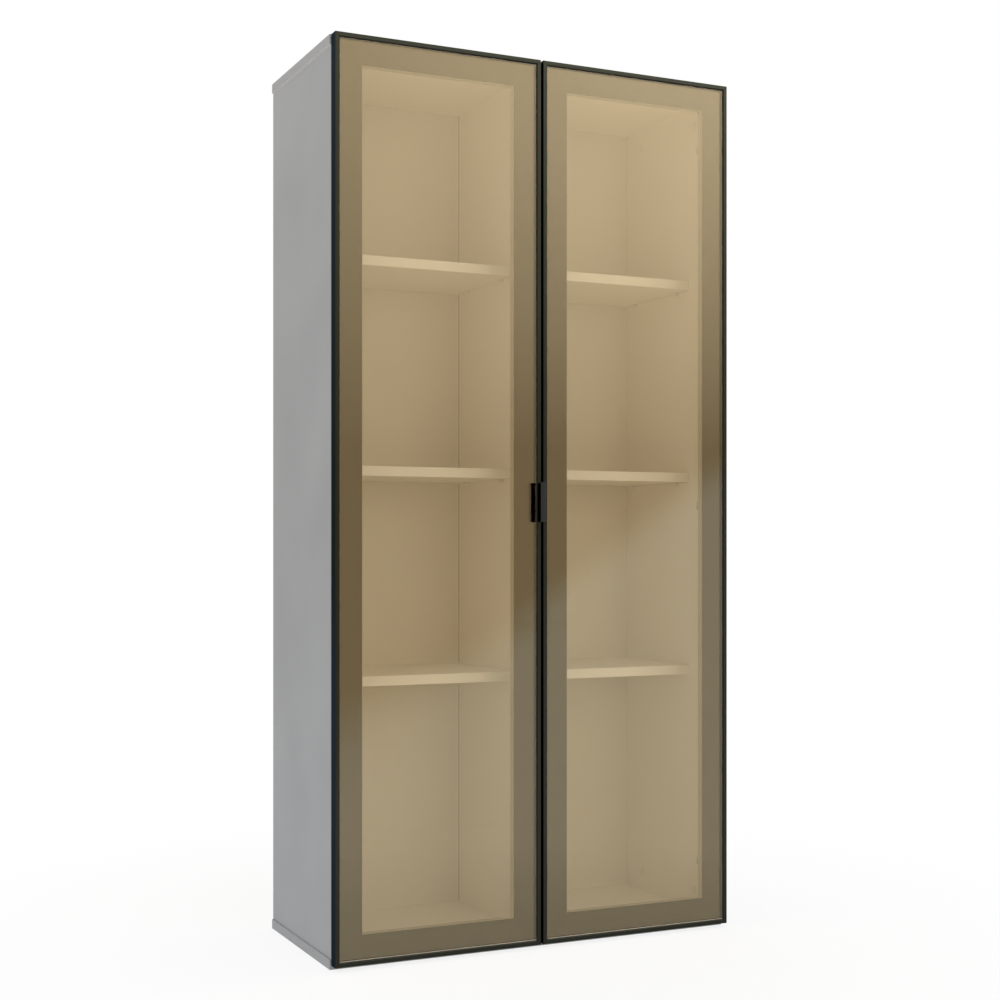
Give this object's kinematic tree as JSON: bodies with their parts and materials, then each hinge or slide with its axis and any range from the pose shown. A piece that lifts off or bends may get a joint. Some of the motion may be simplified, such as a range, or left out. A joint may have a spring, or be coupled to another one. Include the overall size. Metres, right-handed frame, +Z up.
{
  "type": "glazed display cabinet",
  "caption": "Tall shallow display cabinet with a board carcass, a centre partition, shelves in both bays and glazed doors in slim dark metal frames.",
  "frame": {"origin": "middle of the underside of the carcass, without the doors", "axes": "+Z up, +Y towards the wall behind, so the doors face -Y, +X to the right seen from the front"},
  "size_m": [0.71, 0.3365, 1.47],
  "materials": {
    "grey_board": "melamine-faced chipboard, mid grey outside and off-white inside the bays",
    "light_board": "melamine-faced chipboard, off-white",
    "back_board": "thin fibreboard, lacquered off-white in front and bare brown behind",
    "grey_edging": "smooth ABS edging",
    "light_edging": "smooth ABS edging",
    "nickel_steel": "nickel-plated pressed steel",
    "zinc": "zinc-plated",
    "light_plastic": "moulded",
    "beech": "turned beech",
    "ferrite": "sintered ferrite",
    "black_coated_steel": "matt black powder coat",
    "bronze_glass": "bronze reflective float glass",
    "black_tape": "acrylic foam tape",
    "cast_aluminium": "die cast",
    "dark_anodised_aluminium": "dark grey-green anodised, satin",
    "clear_rubber": "soft clear bumper"
  },
  "bodies": {
    "carcass": {"back_panel": "back_board", "back_panel_nails": "zinc", "board_screws": "zinc", "bottom_edge_bands": "grey_edging", "bottom_panel": "grey_board", "cam_bolts": "zinc", "cam_caps": "light_plastic", "cam_locks": "zinc", "catch_housings": "light_plastic", "catch_magnets": "ferrite", "centre_partition": "light_board", "hinge_arms": "nickel_steel", "hinge_clamp_screws": "zinc", "hinge_plate_screws": "zinc", "hinge_plates": "nickel_steel", "shelf_edge_bands": "light_edging", "shelf_left_lower": "light_board", "shelf_left_middle": "light_board", "shelf_left_upper": "light_board", "shelf_pins": "light_plastic", "shelf_right_lower": "light_board", "shelf_right_middle": "light_board", "shelf_right_upper": "light_board", "side_panel_left": "grey_board", "side_panel_right": "grey_board", "top_edge_bands": "grey_edging", "top_panel": "grey_board", "upright_edge_bands": "grey_edging", "wall_brackets": "nickel_steel", "wood_dowels": "beech"},
    "left_door": {"handle": "black_coated_steel", "handle_screws": "black_coated_steel", "left_door_bottom_rail": "dark_anodised_aluminium", "left_door_bumpers": "clear_rubber", "left_door_connector_screws": "zinc", "left_door_corner_connectors": "cast_aluminium", "left_door_free_stile": "dark_anodised_aluminium", "left_door_glass": "bronze_glass", "left_door_glazing_tape": "black_tape", "left_door_hinge_cup_screws": "zinc", "left_door_hinge_cups": "nickel_steel", "left_door_hinge_pins": "nickel_steel", "left_door_hinge_stile": "dark_anodised_aluminium", "left_door_strike_plate": "nickel_steel", "left_door_top_rail": "dark_anodised_aluminium"},
    "right_door": {"right_door_bottom_rail": "dark_anodised_aluminium", "right_door_bumpers": "clear_rubber", "right_door_connector_screws": "zinc", "right_door_corner_connectors": "cast_aluminium", "right_door_free_stile": "dark_anodised_aluminium", "right_door_glass": "bronze_glass", "right_door_glazing_tape": "black_tape", "right_door_hinge_cup_screws": "zinc", "right_door_hinge_cups": "nickel_steel", "right_door_hinge_pins": "nickel_steel", "right_door_hinge_stile": "dark_anodised_aluminium", "right_door_strike_plate": "nickel_steel", "right_door_top_rail": "dark_anodised_aluminium"}
  },
  "joints": [
    {"name": "left_door_hinge", "type": "hinge", "parent": "carcass", "child": "left_door", "pos_m": [-0.3485, -0.1585, 0.723], "axis": [0, 0, -1], "range_deg": [0, 95]},
    {"name": "right_door_hinge", "type": "hinge", "parent": "carcass", "child": "right_door", "pos_m": [0.3485, -0.1585, 0.723], "axis": [0, 0, 1], "range_deg": [0, 95]}
  ]
}
